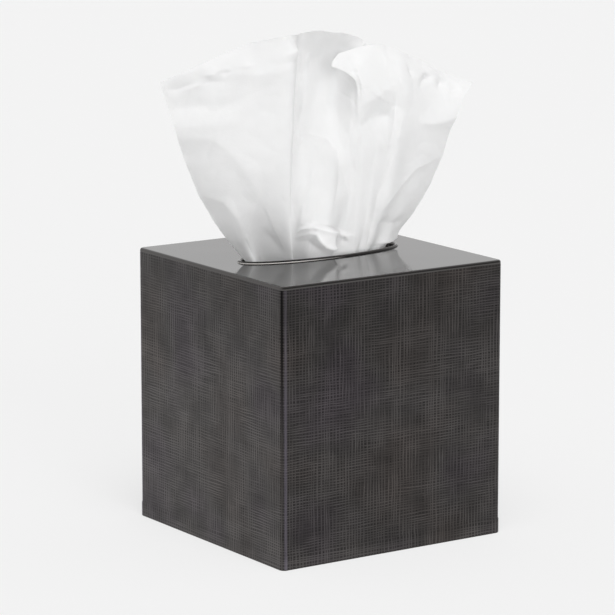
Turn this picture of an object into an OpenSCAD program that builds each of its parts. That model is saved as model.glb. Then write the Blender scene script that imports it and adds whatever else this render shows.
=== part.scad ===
// Cube tissue box: a square cover of dark etched sheet metal stands over a carton of
// facial tissues, and one tissue is drawn up through the oval opening in its top.
// Millimetres, +Z up. The origin is the middle of the footprint, on the table.

/* [Cover] */
// Width and depth of the square cover, outside
cover_w = 130; // [118:1:170]
// Height of the cover
cover_h = 138; // [120:1:180]
// Thickness of the metal sheet
sheet_t = 1; // [0.6:0.1:1.4]
// Inside radius of the bent vertical corners
corner_bend = 1.6; // [1.2:0.1:5]
// Inside radius of the bend from the walls into the top
edge_bend = 0.2; // [0.2:0.1:1]

/* [Opening] */
// Clear length of the oval opening, along X
mouth_l = 90; // [80:1:100]
// Clear width of the oval opening, along Y
mouth_w = 26; // [22:1:40]
// Depth of the turned-down lip round the opening
lip_h = 5; // [3:0.5:8]
// Inside radius of the bend into the lip
lip_bend = 0.6; // [0.3:0.1:1]

/* [Hem] */
// Height of the hem folded inward along the bottom of the walls
hem_h = 7; // [4:0.5:12]
// How far the hem stands proud of the wall
hem_swell = 0.25; // [0:0.05:0.5]
// Radius of the hem's bottom edges
hem_edge = 0.6; // [0.2:0.1:0.6]

/* [Carton] */
// Space between the cover's hem and the carton, on each side
carton_gap = 7.5; // [3:0.5:9]
// Space between the carton and the underside of the cover's top
carton_head = 10; // [7:0.5:16]
// Thickness of the carton board
board_t = 0.5; // [0.3:0.1:0.8]
// Length of the oval torn out of the carton's top
torn_l = 92; // [84:1:98]
// Width of the oval torn out of the carton's top
torn_w = 44; // [30:1:60]
// Width of the glued side seam
seam_w = 14; // [8:1:20]
// Depth of the inner closing flaps
flap_d = 30; // [20:1:40]

/* [Slit film] */
// Thickness of the film behind the carton's opening
film_t = 0.2; // [0.1:0.05:0.4]
// Margin by which the film is glued round the carton's opening
film_margin = 5; // [3:0.5:6]
// Length of the slit that grips the tissue
slit_l = 80; // [70:1:90]
// Width to which the tissue opens the slit
slit_w = 16; // [12:0.5:22]

/* [Tissue pack] */
// Space between the pack and the carton's walls
pack_gap = 1; // [0.5:0.1:2]
// Space between the pack and the slit film
pack_head = 12; // [8:0.5:16]
// Outer radius of the pack where it is bent over
pack_r = 22; // [10:1:30]
// Width of the gap between the two legs of the bent pack
pack_fold = 6; // [3:0.5:10]

/* [Raised tissue] */
// Thickness of the two-ply sheet
tissue_t = 0.3; // [0.2:0.05:0.4]
// Height of the sheet's highest point above the cover
tissue_rise = 109.5; // [80:0.5:140]
// Distance between the sheet's two top corners
fan_w = 160; // [140:1:190]
// Depth from the foremost to the hindmost fold
fan_d = 50; // [30:1:60]
// Clearance between the sheet and what it passes through or rests on
tissue_gap = 0.3; // [0.2:0.05:0.4]

/* [Hidden] */

corner_steps = 12;
bend_steps = 5;
ring_n = 4 * (corner_steps + 1);

corner_r = corner_bend + sheet_t;
edge_r = edge_bend + sheet_t;
lip_r = lip_bend + sheet_t;
hem_blend = 1;
least_r = 0.2;

carton_w = cover_w - 4 * sheet_t - 2 * carton_gap;
carton_h = cover_h - sheet_t - carton_head;
film_z = carton_h - 2 * board_t - film_t;
pack_w = carton_w - 4 * board_t - 2 * pack_gap;
pack_z = 2 * board_t;
pack_h = film_z - pack_head - pack_z;
pack_top = pack_z + pack_h;

// The raised sheet is lofted through four sections. Each lists the same folds from the sheet's
// left edge to its right: big left panel, sharp front crease, a deep fold behind it, the middle
// panel, a lobe that laps over it, then the smaller folds of the right wing.
// Neck: x as a share of the neck oval's half length, y as a share of its half width there
NECK = [
    [-0.97, 0.10], [-0.90, -0.70], [-0.70, 0.40], [-0.52, -0.96], [-0.48, -0.70],
    [-0.40, 0.36], [-0.30, -0.94], [-0.02, -0.94], [0.09, -0.30], [0.37, -0.62],
    [0.47, -0.48], [0.57, -0.66], [0.67, -0.36], [0.79, -0.50], [0.94, 0.20],
];
// Waist and chest: x and y as shares of half the fan's width and half its depth
WAIST = [
    [-0.70, 0.38], [-0.65, -0.08], [-0.52, -0.38], [-0.37, -0.76], [-0.33, -0.42],
    [-0.26, -0.28], [-0.19, -0.44], [-0.06, -0.60], [0.13, -0.38], [0.22, -0.40],
    [0.305, -0.34], [0.37, -0.48], [0.50, -0.30], [0.60, -0.28], [0.735, -0.12],
];
CHEST = [
    [-0.875, 0.47], [-0.75, 0.09], [-0.55, -0.34], [-0.34, -0.72], [-0.23, -0.22],
    [-0.14, -0.36], [-0.04, -0.26], [0.08, -0.28], [0.14, -0.42], [0.22, -0.48],
    [0.33, -0.52], [0.42, -0.74], [0.555, -0.60], [0.68, -0.54], [0.825, -0.48],
];
// Top edge: the same, and z as a share of the rise
CREST = [
    [-1.02, 0.66, 0.82], [-0.77, 0.34, 0.90], [-0.52, -0.09, 0.97], [-0.31, -0.58, 1.01], [-0.12, 0.04, 1.00],
    [-0.02, -0.12, 1.012], [0.08, -0.02, 1.00], [0.21, 0.04, 0.985], [0.38, 0.05, 0.945], [0.15, -0.26, 0.908],
    [0.44, -0.22, 0.95], [0.575, -0.36, 0.91], [0.735, -0.36, 0.85], [0.91, -0.40, 0.78], [1.01, -0.72, 0.745],
];
// Soft swellings and hollows between the folds: fold number, share of the way up, depth as a
// share of the fan's depth, reach in folds, and reach in shares of the way up
PUSHES = [
    [6.3, 0.30, 0.085, 0.8, 0.13],    // rounded finger in the middle
    [6.0, 0.565, -0.03, 1.2, 0.06],   // hollow above it
    [7.1, 0.17, -0.04, 0.7, 0.03],    // gap under it
    [6.2, 0.08, -0.045, 0.5, 0.03],   // hollow at its foot
    [5.5, 0.87, -0.065, 1.2, 0.06],   // notch under the back panel
    [10.0, 0.79, 0.085, 0.9, 0.08],   // flared lobe on the right
    [10.0, 0.69, -0.07, 0.8, 0.045],  // pocket below it
    [1.6, 0.90, 0.04, 0.9, 0.05],     // rolled edge of the left wing
    [0.8, 0.80, -0.03, 0.7, 0.05],    // groove under it
    [1.5, 0.57, 0.05, 0.5, 0.12],     // fold sweeping down the left wing
    [1.1, 0.26, 0.04, 0.4, 0.07],     // short fold at its foot
    [10.65, 0.30, 0.04, 0.35, 0.18],  // upright crease of the right wing
    [12.6, 0.45, 0.03, 1.2, 0.06],    // fold across the right wing
    [13.4, 0.78, 0.04, 0.7, 0.05],    // fold under its corner
    [12.3, 0.13, -0.035, 0.9, 0.04],  // pocket at its foot
];
// Heights of the waist and chest, as shares of the way up each fold
WAIST_AT = 0.24;
CHEST_AT = 0.56;
columns = 80;
free_rows = 22;

// Oval of the given length and width, as a flat outline
function oval(l, w, n = 72) = [for (i = [0:n - 1]) [l / 2 * cos(360 * i / n), w / 2 * sin(360 * i / n)]];

// Ring of points round the square cover, set in from its outside by inset
function wall_ring(inset, z) =
    let (r = max(least_r, corner_r - inset), c = cover_w / 2 - inset - r)
    [for (k = [0:3], j = [0:corner_steps])
        let (a = 90 * k + 90 * j / corner_steps, turn = 45 + 90 * k)
        [c * sign(cos(turn)) + r * cos(a), c * sign(sin(turn)) + r * sin(a), z]];

// Ring of as many points round the oval opening, larger than it by grow
function mouth_ring(grow, z) =
    [for (i = [0:ring_n - 1])
        let (a = 360 * (i + 0.5) / ring_n)
        [(mouth_l / 2 + grow) * cos(a), (mouth_w / 2 + grow) * sin(a), z]];

function quarter(steps) = [for (i = [0:steps]) 90 * i / steps];
function quarter_back(steps) = [for (i = [steps:-1:0]) 90 * i / steps];

// The sheet's whole surface as rings: up the outside, over the lip, and down the inside
cover_rings = concat(
    [for (a = quarter(3)) wall_ring(hem_edge * (1 - sin(a)) - hem_swell, hem_edge * (1 - cos(a)))],
    [wall_ring(-hem_swell, hem_h), wall_ring(0, hem_h + hem_blend)],
    [for (a = quarter(bend_steps)) wall_ring(edge_r * (1 - cos(a)), cover_h - edge_r * (1 - sin(a)))],
    [for (a = quarter(bend_steps)) mouth_ring(lip_r * (1 - sin(a)), cover_h - lip_r * (1 - cos(a)))],
    [mouth_ring(0, cover_h - lip_h), mouth_ring(sheet_t, cover_h - lip_h)],
    [for (a = quarter_back(3))
        mouth_ring(sheet_t + lip_bend * (1 - sin(a)), cover_h - sheet_t - lip_bend * (1 - cos(a)))],
    [for (a = quarter_back(3))
        wall_ring(sheet_t + edge_bend * (1 - cos(a)), cover_h - sheet_t - edge_bend * (1 - sin(a)))],
    [wall_ring(sheet_t, hem_h), wall_ring(2 * sheet_t, hem_h)],
    [for (a = quarter_back(3)) wall_ring(2 * sheet_t - hem_edge * (1 - sin(a)), hem_edge * (1 - cos(a)))]
);

// Closed skin through rings of equal length, the last ring joined to the first
module ring_skin(rings) {
    n = len(rings[0]);
    m = len(rings);
    polyhedron(
        points = [for (ring = rings, p = ring) p],
        faces = [for (r = [0:m - 1], i = [0:n - 1])
            let (s = (r + 1) % m, j = (i + 1) % n)
            each [[r * n + i, s * n + i, s * n + j], [r * n + i, s * n + j, r * n + j]]]
    );
}

// Catmull-Rom curve through points, at u counted in points
function curve_at(points, u) =
    let (last = len(points) - 1, k = min(floor(u), last - 1), f = u - k,
        p = [for (i = [k - 1:k + 2]) points[max(0, min(last, i))]])
    0.5 * (2 * p[1] + (p[2] - p[0]) * f + (2 * p[0] - 5 * p[1] + 4 * p[2] - p[3]) * f * f
        + (3 * p[1] - p[0] - 3 * p[2] + p[3]) * f * f * f);

// Section in an oval gap of half length a and half width b
function neck_section(a, b, z) = [for (p = NECK) [p.x * a, p.y * b * sqrt(1 - p.x * p.x), z]];

// Section of the free part, a share t of the way up
function fan_section(shares, t) =
    [for (i = [0:len(NECK) - 1])
        [shares[i].x * fan_w / 2, shares[i].y * fan_d / 2, cover_h + t * CREST[i].z * tissue_rise]];

// Cubic in t that passes through the neck, waist, chest and top edge
function loft_weights(t) =
    let (at = [0, WAIST_AT, CHEST_AT, 1])
    [for (i = [0:3]) let (o = [for (j = [0:3]) if (j != i) at[j]])
        (t - o[0]) * (t - o[1]) * (t - o[2]) / ((at[i] - o[0]) * (at[i] - o[1]) * (at[i] - o[2]))];
function loft_row(t) =
    let (w = loft_weights(t))
    [for (i = [0:len(NECK) - 1])
        w[0] * sections[0][i] + w[1] * sections[1][i] + w[2] * sections[2][i] + w[3] * sections[3][i]];

// The sheet stays this much smaller than each gap, for its bends swing past the folds listed
neck_ease = 0.7;
neck_a = mouth_l / 2 - tissue_gap - neck_ease;
neck_b = mouth_w / 2 - tissue_gap - neck_ease;
slit_a = slit_l / 2 - tissue_gap - neck_ease;
slit_b = slit_w / 2 - tissue_gap - neck_ease;
foot_a = slit_a * 0.88;
foot_z = pack_top + tissue_gap;
sections = [neck_section(neck_a, neck_b, cover_h), fan_section(WAIST, WAIST_AT), fan_section(CHEST, CHEST_AT), fan_section(CREST, 1)];

// Fold number at a column of the grid
function fold_at(i) = (len(NECK) - 1) * i / columns;

// Depth of all swellings together at fold u, a share t of the way up
function push_at(u, t) = fan_d * vsum([for (p = PUSHES)
    p[2] * exp(-pow((u - p[0]) / p[3], 2) - pow((t - p[1]) / p[4], 2))]);
function vsum(v) = v * [for (x = v) 1];

// Rows of folds, from the pack up through the slit and the opening to the top edge
sheet_rows = concat(
    [neck_section(foot_a, slit_b, foot_z)],
    [for (z = [film_z, film_z + film_t]) neck_section(slit_a, slit_b, z)],
    [for (r = [0:free_rows]) loft_row(r / free_rows)]
);
smooth_grid = [for (row = sheet_rows) [for (i = [0:columns]) curve_at(row, fold_at(i))]];

function unit(v) = v / norm(v);
function sheet_normal(g, r, i) =
    let (rows = len(g), n = len(g[0]))
    unit(cross(g[r][min(i + 1, n - 1)] - g[r][max(i - 1, 0)], g[min(r + 1, rows - 1)][i] - g[max(r - 1, 0)][i]));

// The smooth sheet, swollen along its own normals above the opening
low_rows = len(sheet_rows) - free_rows - 1;
sheet_grid = [for (r = [0:len(sheet_rows) - 1]) [for (i = [0:columns])
    let (t = (r - low_rows) / free_rows)
    smooth_grid[r][i] + (t > 0 ? push_at(fold_at(i), t) : 0) * sheet_normal(smooth_grid, r, i)]];

// Thin solid on both sides of a grid of points
module thick_sheet(grid, t) {
    rows = len(grid);
    n = len(grid[0]);
    offset_grid = [for (side = [0.5, -0.5]) [for (r = [0:rows - 1], i = [0:n - 1])
        grid[r][i] + side * t * sheet_normal(grid, r, i)]];
    back = rows * n;
    rim = concat(
        [for (i = [0:n - 1]) i],
        [for (r = [1:rows - 1]) r * n + n - 1],
        [for (i = [n - 2:-1:0]) (rows - 1) * n + i],
        [for (r = [rows - 2:-1:1]) r * n]
    );
    polyhedron(
        points = concat(offset_grid[0], offset_grid[1]),
        faces = concat(
            [for (r = [0:rows - 2], i = [0:n - 2])
                let (a = r * n + i, b = a + 1, c = a + n + 1, d = a + n)
                each [[a, c, b], [a, d, c], [back + a, back + b, back + c], [back + a, back + c, back + d]]],
            [for (k = [0:len(rim) - 1])
                let (a = rim[k], b = rim[(k + 1) % len(rim)])
                each [[a, b, back + b], [a, back + b, back + a]]]
        )
    );
}

// One metal sheet: plain top with a turned-down lip, four walls and a hem folded inward
module cover() {
    color([0.27, 0.26, 0.26]) ring_skin(cover_rings);
}

module board(w, d, t, x, y, z) {
    translate([x - w / 2, y - d / 2, z]) cube([w, d, t]);
}

// Folded and glued carton: tube with a side seam, and an outer and an inner flap at each end
module carton() {
    inner_w = carton_w - 2 * board_t;
    flap_y = inner_w / 2 - flap_d / 2;
    color([0.86, 0.83, 0.77]) difference() {
        union() {
            difference() {
                board(carton_w, carton_w, carton_h, 0, 0, 0);
                board(inner_w, inner_w, carton_h - 2 * board_t, 0, 0, board_t);
            }
            for (side = [-1, 1], z = [board_t, carton_h - 2 * board_t])
                board(inner_w, flap_d, board_t, 0, side * flap_y, z);
            translate([inner_w / 2 - board_t, inner_w / 2 - seam_w, board_t])
                cube([board_t, seam_w, carton_h - 2 * board_t]);
        }
        translate([0, 0, carton_h - 3 * board_t])
            linear_extrude(4 * board_t) polygon(oval(torn_l, torn_w));
    }
}

// Film glued under the carton's top, with the slit that holds the next tissue up
module slit_film() {
    color([0.93, 0.95, 0.96, 0.5]) translate([0, 0, film_z]) linear_extrude(film_t) difference() {
        polygon(oval(torn_l + 2 * film_margin, torn_w + 2 * film_margin));
        polygon(oval(slit_l, slit_w));
    }
}

// Interfolded tissues, bent over as one pack so that its two ends stand on the carton's floor
module tissue_pack() {
    fold_top = pack_h / 2;
    color([0.96, 0.96, 0.96]) translate([0, pack_w / 2, pack_z]) rotate([90, 0, 0]) linear_extrude(pack_w) difference() {
        hull() {
            for (side = [-1, 1]) translate([side * (pack_w / 2 - pack_r), pack_h - pack_r]) circle(pack_r, $fn = 48);
            translate([-pack_w / 2, 0]) square([pack_w, 1]);
        }
        translate([-pack_fold / 2, -1]) square([pack_fold, fold_top + 1]);
        translate([0, fold_top]) circle(d = pack_fold, $fn = 32);
    }
}

// The drawn-up sheet: gathered by the slit and the opening, fanned out above them
module raised_tissue() {
    color([0.97, 0.97, 0.97]) thick_sheet(sheet_grid, tissue_t);
}

cover();
carton();
slit_film();
tissue_pack();
raised_tissue();
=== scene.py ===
# %% [markdown]
# # A tissue box, dressed for its picture
# A square cover of dark plated metal stands over a carton of facial tissues, and one tissue
# is drawn up through the oval opening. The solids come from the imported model. This lesson
# keeps their sizes and gives them the finish of the real thing: etched metal, a polished
# top, folded board and thin, crumpled paper.

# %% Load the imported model
import math

import bpy
import numpy as np
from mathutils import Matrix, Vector, noise


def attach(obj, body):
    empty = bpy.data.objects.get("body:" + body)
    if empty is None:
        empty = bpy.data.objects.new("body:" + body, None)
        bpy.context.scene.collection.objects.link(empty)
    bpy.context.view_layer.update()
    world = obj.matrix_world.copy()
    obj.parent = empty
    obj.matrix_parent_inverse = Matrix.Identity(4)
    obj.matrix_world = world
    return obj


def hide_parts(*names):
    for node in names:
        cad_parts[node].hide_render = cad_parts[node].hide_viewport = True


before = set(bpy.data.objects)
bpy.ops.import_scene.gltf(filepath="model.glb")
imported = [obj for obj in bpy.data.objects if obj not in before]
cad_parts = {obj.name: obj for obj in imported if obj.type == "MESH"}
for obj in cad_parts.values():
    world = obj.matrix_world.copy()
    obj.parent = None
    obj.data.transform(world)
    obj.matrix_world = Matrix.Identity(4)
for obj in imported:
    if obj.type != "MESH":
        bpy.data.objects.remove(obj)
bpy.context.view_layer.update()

# %% [markdown]
# The camera comes first, because everything else is judged through it. It could be placed by
# eye, but the box is square, so its corners in the photograph say more: they fit a cover seen
# from the front left, a little from above, through a long lens. The sides hardly converge.

# %% Camera
CAMERA_PLACE = (-0.9422, -1.3828, 0.4393)  # metres
LOOK_DOWN, TURN = 11.11, -34.08  # degrees
LENS, SENSOR = 201.0, 36  # millimetres

camera = bpy.data.objects.new("camera", bpy.data.cameras.new("camera"))
bpy.context.collection.objects.link(camera)
camera.location = CAMERA_PLACE
camera.rotation_euler = (math.radians(90 - LOOK_DOWN), 0, math.radians(TURN))
camera.data.lens = LENS
camera.data.sensor_width = SENSOR
bpy.context.scene.camera = camera
print("camera at", CAMERA_PLACE, "with a lens of", LENS, "mm")

# %% [markdown]
# Three small helpers serve every finish. Colours are written as the hex values an eye would
# pick from a screen, and turned to linear light in one place. One function adds a shader node
# with its settings and links, so that a material reads from top to bottom like a recipe. The
# last one starts a material.

# %% Helpers for colours and nodes
def linear(hex_colour):
    channels = [int(hex_colour[i:i + 2], 16) / 255 for i in (1, 3, 5)]
    bent = [c / 12.92 if c <= 0.04045 else ((c + 0.055) / 1.055) ** 2.4 for c in channels]
    return bent + [1.0]


def add_node(tree, kind, inputs=None, stops=(), **settings):
    made = tree.nodes.new(kind)
    for name, value in settings.items():
        setattr(made, name, value)
    for k, (place, hex_colour) in enumerate(stops):
        ramp = made.color_ramp.elements
        stop = ramp[k] if k < 2 else ramp.new(place)
        stop.position, stop.color = place, linear(hex_colour)
    for socket, value in (inputs or {}).items():
        if isinstance(value, bpy.types.NodeSocket):
            tree.links.new(value, made.inputs[socket])
        else:
            made.inputs[socket].default_value = value
    return made


def new_material(name):
    made = bpy.data.materials.new(name)
    made.use_nodes = True
    tree = made.node_tree
    return made, tree, tree.nodes["Principled BSDF"]


print("mid grey #808080 is", round(linear("#808080")[0], 3), "in linear light")

# %% [markdown]
# The sizes repeat those of the solid, so that the finer mesh lies on it. The bead round the
# opening is the one thing added here: it is trim too thin to matter in the solid.

# %% The cover's sizes, in metres
HALF = 0.065
TOP = 0.138
SHEET = 0.001
CORNER_R, EDGE_R, LIP_R = 0.0026, 0.0012, 0.0016
MOUTH_A, MOUTH_B, LIP_DEEP = 0.045, 0.013, 0.005
BEAD_H, BEAD_W = 0.0010, 0.0020
HEM_H, HEM_OUT, HEM_R = 0.007, 0.00025, 0.0006
SIDE_MM = 1000 * (2 * (HALF - CORNER_R) + math.pi / 2 * CORNER_R)  # one wall and one bend
print("one wall and one bend take", round(SIDE_MM, 2), "mm of sheet")

# %% [markdown]
# The cover is brass sheet, plated nearly black. Before it was folded, its sides were etched
# with a linen pattern: acid bit the gaps between the threads, so the threads stand a little
# proud and brighter, and the gaps are dark and rough. The threads wander and swell as in
# hand-woven cloth. A picture of cloth could be laid on the walls, but threads drawn by nodes
# keep their size in millimetres and never repeat. The sheet was etched flat, so a map in
# millimetres along it carries the threads round the corners, one family each way.

# %% One family of etched threads
THREAD_MM = 1.8  # mean spacing of the coarse threads
DRIFT_MM = 1.8  # how far a thread strays from its line
THIN, THICK = 0.26, 0.62  # half a thread's width, as shares of the spacing
SHALLOW = 0.55  # height of a thread where the acid bit least


def thread_lines(tree, along, across, spacing_mm, seed):
    """Height of threads that follow `along` and are spaced over `across`, both in mm."""
    place = add_node(tree, "ShaderNodeCombineXYZ", {"X": along, "Y": across, "Z": seed}).outputs[0]
    slow = add_node(tree, "ShaderNodeVectorMath", {0: place, 1: (0.045, 0.16, 1)},
                    operation="MULTIPLY").outputs[0]
    drift = add_node(tree, "ShaderNodeTexNoise",
                     {"Vector": slow, "Scale": 1.0, "Detail": 3.0}).outputs["Fac"]
    wander = add_node(tree, "ShaderNodeMath", {0: drift, 1: DRIFT_MM, 2: across},
                      operation="MULTIPLY_ADD").outputs[0]
    turns = add_node(tree, "ShaderNodeMath", {0: wander, 1: spacing_mm},
                     operation="DIVIDE").outputs[0]
    lines = add_node(tree, "ShaderNodeTexVoronoi", {"W": turns, "Scale": 1.0, "Randomness": 0.6},
                     voronoi_dimensions="1D", feature="DISTANCE_TO_EDGE").outputs["Distance"]
    slub = add_node(tree, "ShaderNodeVectorMath", {0: place, 1: (0.10, 0.9, 1)},
                    operation="MULTIPLY").outputs[0]
    swell = add_node(tree, "ShaderNodeTexNoise",
                     {"Vector": slub, "Scale": 1.0, "Detail": 2.0}).outputs["Fac"]
    reach = add_node(tree, "ShaderNodeMapRange",
                     {"Value": swell, "From Min": 0.32, "From Max": 0.68,
                      "To Min": THIN, "To Max": THICK}).outputs[0]
    edge = add_node(tree, "ShaderNodeMath", {0: lines, 1: reach}, operation="DIVIDE").outputs[0]
    thread = add_node(tree, "ShaderNodeMath", {0: 1.0, 1: edge},
                      operation="SUBTRACT", use_clamp=True).outputs[0]
    patch = add_node(tree, "ShaderNodeVectorMath", {0: place, 1: (0.05, 0.09, 1.7)},
                     operation="MULTIPLY").outputs[0]
    bite = add_node(tree, "ShaderNodeTexNoise",
                    {"Vector": patch, "Scale": 1.0, "Detail": 2.0}).outputs["Fac"]
    depth = add_node(tree, "ShaderNodeMapRange",
                     {"Value": bite, "From Min": 0.35, "From Max": 0.62,
                      "To Min": SHALLOW, "To Max": 1.0}).outputs[0]
    return add_node(tree, "ShaderNodeMath", {0: thread, 1: depth}, operation="MULTIPLY").outputs[0]


print("coarse threads about every", THREAD_MM, "mm")

# %% [markdown]
# Four families make the linen: a coarse and a fine one each way. The fine threads lie about
# half as far apart as the coarse ones and stand lower. Adding the heights up would make lumps
# where threads cross, so the higher of two is taken, as in sheet that was etched once.

# %% Relief of the etched sides
WEFT = 0.75  # spacing of the level coarse threads, as a share of the upright ones
FINE = 0.45  # spacing of the fine threads, as a share of the same
FINE_HEIGHT = 0.55

etched, tree, shader = new_material("EtchedPlatedBrass")
sheet_map = add_node(tree, "ShaderNodeUVMap", uv_map="SheetMap").outputs[0]
flat_mm = add_node(tree, "ShaderNodeVectorMath", {0: sheet_map, 1: (1000, 1000, 0)},
                   operation="MULTIPLY").outputs[0]
flat = add_node(tree, "ShaderNodeSeparateXYZ", {0: flat_mm}).outputs
coarse = [thread_lines(tree, flat["Y"], flat["X"], THREAD_MM, 3.0),
          thread_lines(tree, flat["X"], flat["Y"], THREAD_MM * WEFT, 11.0)]
fine = [thread_lines(tree, flat["Y"], flat["X"], THREAD_MM * FINE, 23.0),
        thread_lines(tree, flat["X"], flat["Y"], THREAD_MM * FINE, 31.0)]
coarse_weave = add_node(tree, "ShaderNodeMath", {0: coarse[0], 1: coarse[1]},
                        operation="MAXIMUM").outputs[0]
fine_weave = add_node(tree, "ShaderNodeMath", {0: fine[0], 1: fine[1]},
                      operation="MAXIMUM").outputs[0]
soft_fine = add_node(tree, "ShaderNodeMath", {0: fine_weave, 1: FINE_HEIGHT},
                     operation="MULTIPLY").outputs[0]
relief = add_node(tree, "ShaderNodeMath", {0: coarse_weave, 1: soft_fine},
                  operation="MAXIMUM").outputs[0]
print("linen of", len(coarse) + len(fine), "families of threads")

# %% [markdown]
# Plating takes its tone from the relief: nearly black in the gaps and grey on the threads.
# Tarnish tints it faintly in patches. The photograph shows the sides darker towards the top.
# That may be patina or a reflection, and it is made as patina, which stays put when the box
# is turned. Just past each corner are two thin lines, a dark one that is strongest high up
# and a pale one that is strongest low down. Both are laid into the colour of the sheet at
# the bend.

# %% Colour of the etched sides
TARNISH_PER_M = 16.0  # patches of about 60 mm
UPPER_DARK_FROM, UPPER_DARK_FULL, UPPER_DARK_TONE = 78.0, 118.0, 0.78  # millimetres up, then a share
FOLD_MM = 5.0  # the fold's lines lie within this much sheet past a corner

metal_tone = add_node(tree, "ShaderNodeValToRGB", {"Fac": relief},
                      stops=((0.0, "#2C2B2B"), (0.4, "#4C4A4A"), (1.0, "#6A6767"))).outputs[0]
blotch = add_node(tree, "ShaderNodeTexNoise",
                  {"Vector": sheet_map, "Scale": TARNISH_PER_M, "Detail": 2.0}).outputs["Fac"]
tarnish = add_node(tree, "ShaderNodeValToRGB", {"Fac": blotch},
                   stops=((0.36, "#F0EAF2"), (0.5, "#F4F3F1"), (0.64, "#F5EFEA"))).outputs[0]
tinted = add_node(tree, "ShaderNodeMix", {"Factor": 1.0, 6: metal_tone, 7: tarnish},
                  data_type="RGBA", blend_type="MULTIPLY").outputs[2]
# the sides are made darker towards the top
upper_tone = add_node(tree, "ShaderNodeMapRange",
                  {"Value": flat["Y"], "From Min": UPPER_DARK_FROM, "From Max": UPPER_DARK_FULL,
                   "To Min": 1.0, "To Max": UPPER_DARK_TONE}).outputs[0]
darker_high = add_node(tree, "ShaderNodeVectorMath", {0: tinted, "Scale": upper_tone},
                operation="SCALE").outputs[0]
from_corner = add_node(tree, "ShaderNodeMath", {0: flat["X"], 1: SIDE_MM},
                       operation="MODULO").outputs[0]
near_fold = add_node(tree, "ShaderNodeMath", {0: from_corner, 1: FOLD_MM},
                     operation="DIVIDE", use_clamp=True).outputs[0]
# a dark line and a pale line laid into the colour of each corner bend
fold_line = add_node(tree, "ShaderNodeValToRGB", {"Fac": near_fold},
                     stops=((0.16, "#000000"), (0.25, "#FFFFFF"),
                            (0.38, "#FFFFFF"), (0.47, "#000000"))).outputs[0]
pale_line = add_node(tree, "ShaderNodeValToRGB", {"Fac": near_fold},
                     stops=((0.46, "#000000"), (0.60, "#FFFFFF"),
                            (0.74, "#FFFFFF"), (0.90, "#000000"))).outputs[0]
high_up = add_node(tree, "ShaderNodeMapRange",
                   {"Value": flat["Y"], "From Min": 45.0, "From Max": 105.0,
                    "To Min": 0.12, "To Max": 0.9}).outputs[0]
low_down = add_node(tree, "ShaderNodeMapRange",
                    {"Value": flat["Y"], "From Min": 60.0, "From Max": 125.0,
                     "To Min": 0.6, "To Max": 0.25}).outputs[0]
dark_strength = add_node(tree, "ShaderNodeMath", {0: fold_line, 1: high_up},
                 operation="MULTIPLY").outputs[0]
pale_strength = add_node(tree, "ShaderNodeMath", {0: pale_line, 1: low_down},
                 operation="MULTIPLY").outputs[0]
dark_fold = add_node(tree, "ShaderNodeMix", {"Factor": dark_strength, 6: darker_high, 7: linear("#131213")},
                     data_type="RGBA").outputs[2]
pale_fold = add_node(tree, "ShaderNodeMix", {"Factor": pale_strength, 6: dark_fold, 7: linear("#7C7682")},
                     data_type="RGBA").outputs[2]
tree.links.new(pale_fold, shader.inputs["Base Color"])
print("patina darkens from", UPPER_DARK_FROM, "to", UPPER_DARK_FULL, "mm up")

# %% [markdown]
# The threads kept some of their polish and the bitten gaps lost it, so the roughness follows
# the relief as well. The etching is drawn about a tenth of a millimetre deep. That is too
# shallow to show in the outline, so a bump does instead of real grooves.

# %% Gloss and depth of the etched sides
ETCH_DEPTH = 0.00012

gloss = add_node(tree, "ShaderNodeMapRange", {"Value": relief, "To Min": 0.55, "To Max": 0.32})
bitten = add_node(tree, "ShaderNodeBump",
                  {"Height": relief, "Strength": 0.35, "Distance": ETCH_DEPTH})
shader.inputs["Metallic"].default_value = 1.0
tree.links.new(gloss.outputs[0], shader.inputs["Roughness"])
tree.links.new(bitten.outputs[0], shader.inputs["Normal"])
print("made", etched.name)

# %% [markdown]
# The top, the lip of the opening and the plain band under the top edge are the same plated
# sheet left smooth and buffed. Seen at a low angle it mirrors the tissue and the pale room.
# A perfect mirror would look like glass, so haze from handling varies its roughness, and a
# very shallow ripple, as thin sheet has, bends the reflections a little.

# %% Polished top of the cover
HAZE_PER_M, RIPPLES_PER_M = 60.0, 22.0  # patches of about 17 mm and waves of about 45 mm

polished, tree, shader = new_material("PolishedPlatedBrass")
place = add_node(tree, "ShaderNodeTexCoord").outputs["Object"]
haze = add_node(tree, "ShaderNodeTexNoise",
                {"Vector": place, "Scale": HAZE_PER_M, "Detail": 4.0})
gloss = add_node(tree, "ShaderNodeMapRange",
                 {"Value": haze.outputs["Fac"], "From Min": 0.3, "From Max": 0.7,
                  "To Min": 0.07, "To Max": 0.11})
ripple = add_node(tree, "ShaderNodeTexNoise",
                  {"Vector": place, "Scale": RIPPLES_PER_M, "Detail": 1.0})
waves = add_node(tree, "ShaderNodeBump",
                 {"Height": ripple.outputs["Fac"], "Strength": 0.25, "Distance": 0.0004})
shader.inputs["Base Color"].default_value = linear("#555352")
shader.inputs["Metallic"].default_value = 1.0
tree.links.new(gloss.outputs[0], shader.inputs["Roughness"])
tree.links.new(waves.outputs[0], shader.inputs["Normal"])
print("made", polished.name)

# %% [markdown]
# A small bead stiffens the rim of the opening. It shows as a dark line, with a pale one under
# it that fades along the rim. The pale line is a painted highlight on the bead's foot, which
# turns into a painted dark line further along. The photograph doesn't tell whether the pale
# line is wear or a reflection. It is laid on in a blend by place, which is simpler than a
# painted mask. The inside of the cover can't be seen. It is taken to be plated but never
# polished: dull, with faint stains.

# %% Painted highlight at the rim, and the dull inside
HIGHLIGHT_UP_TO, HIGHLIGHT_GONE_FROM = -0.020, 0.006  # metres along the opening
STAINS_PER_M = 35.0  # stains of about 30 mm

# the pale end of this blend is a painted highlight on the bead's foot, the dark end a painted dark
# line
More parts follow.
